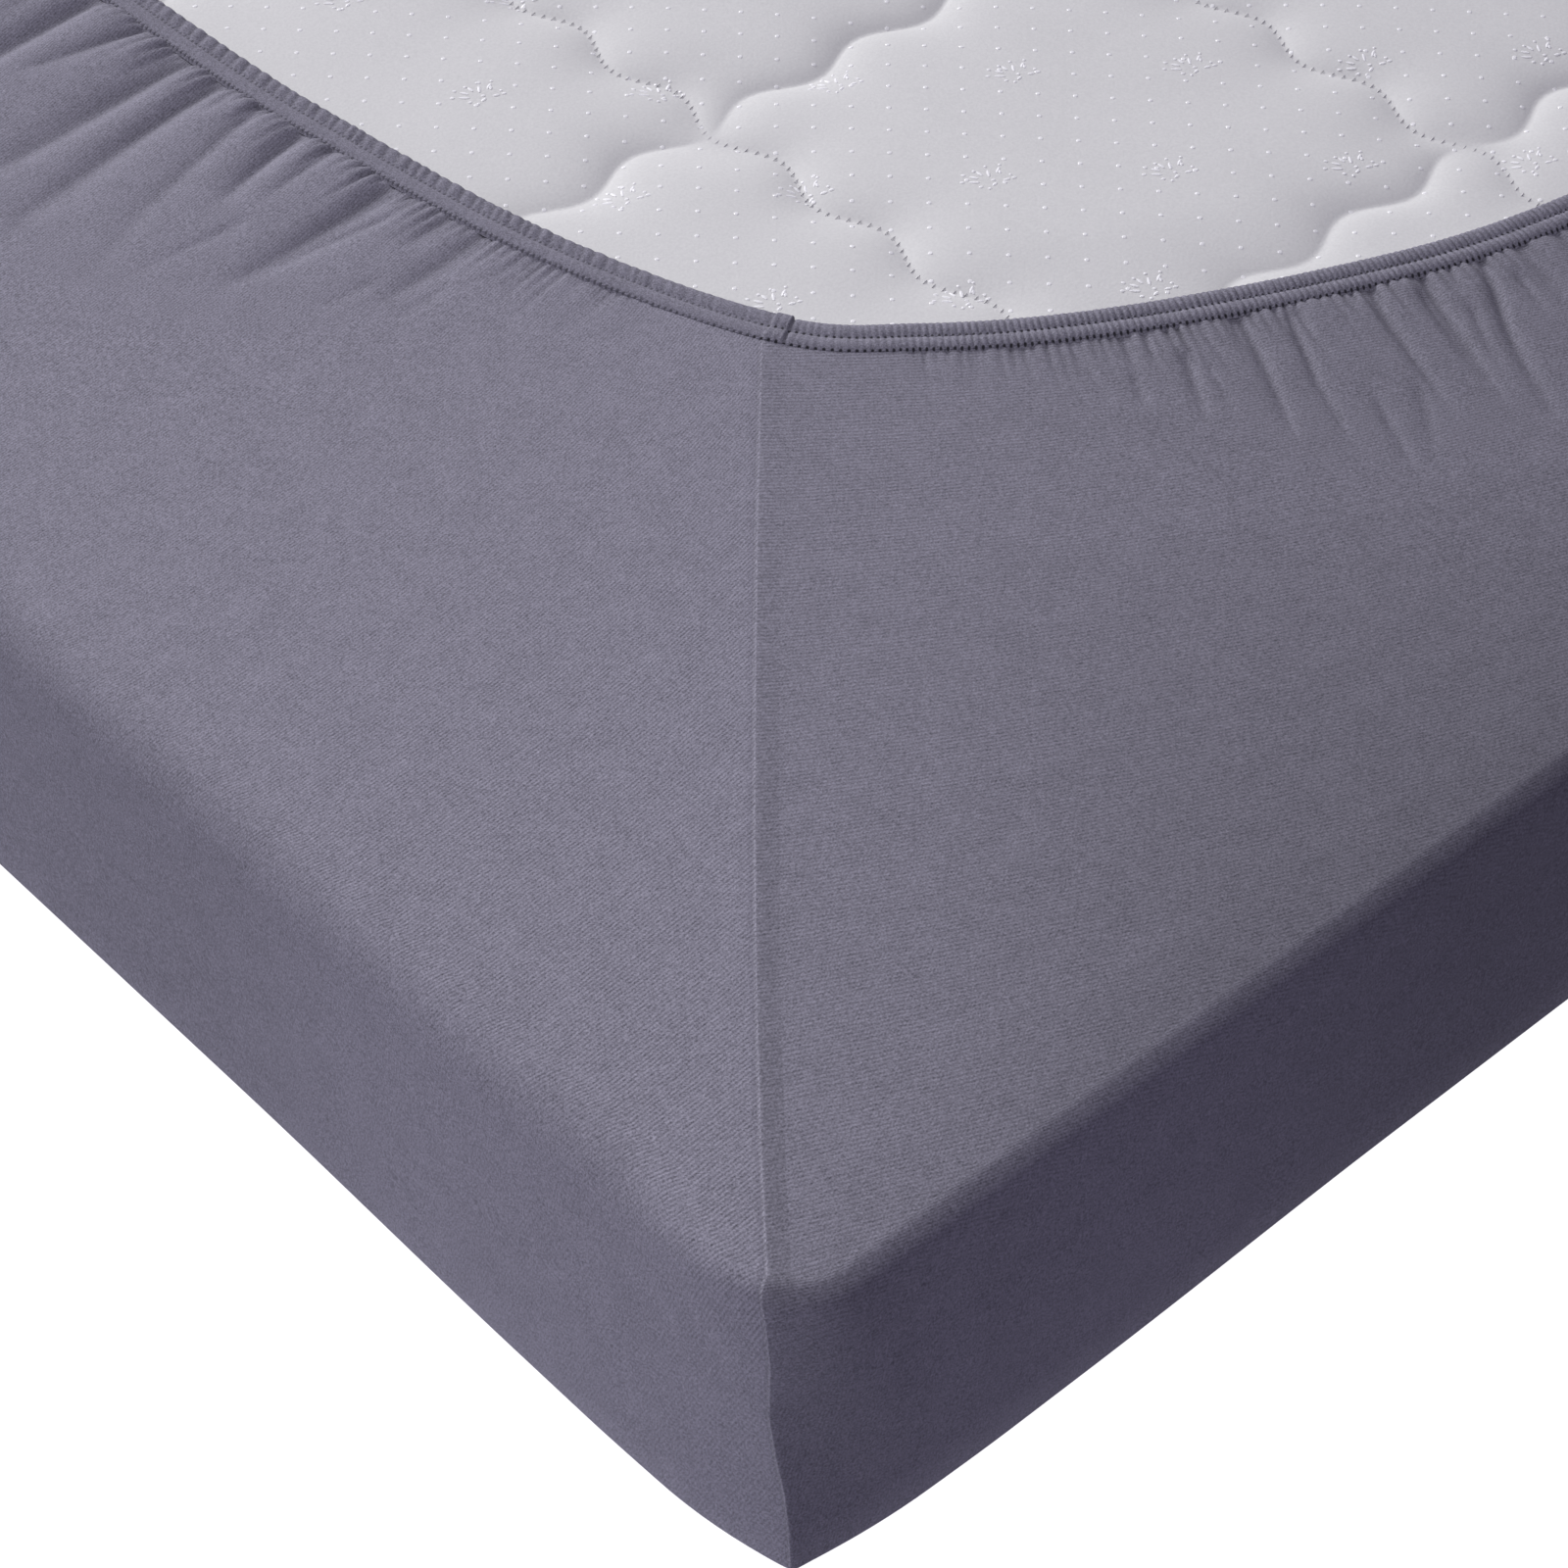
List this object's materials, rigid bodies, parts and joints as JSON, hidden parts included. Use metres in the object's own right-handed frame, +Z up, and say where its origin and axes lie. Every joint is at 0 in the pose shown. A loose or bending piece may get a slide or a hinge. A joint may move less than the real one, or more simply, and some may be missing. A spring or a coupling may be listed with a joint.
{
  "type": "fitted sheet on a mattress",
  "caption": "Jersey fitted sheet pulled over a thin quilted mattress, open side up: it covers the floor side and the sides, turns over the rim and ends in a gathered elastic hem",
  "frame": {"origin": "on the floor, under the middle of the mattress", "axes": "+X across the width, +Y along the length, +Z up out of the open side"},
  "size_m": [1.0046, 2.0046, 0.1044],
  "materials": {
    "jersey": "matt slate grey knitted cotton jersey",
    "ticking": "matt white quilted knitted ticking"
  },
  "bodies": {
    "root": {"fitted_sheet": "jersey", "mattress": "ticking"}
  },
  "joints": []
}
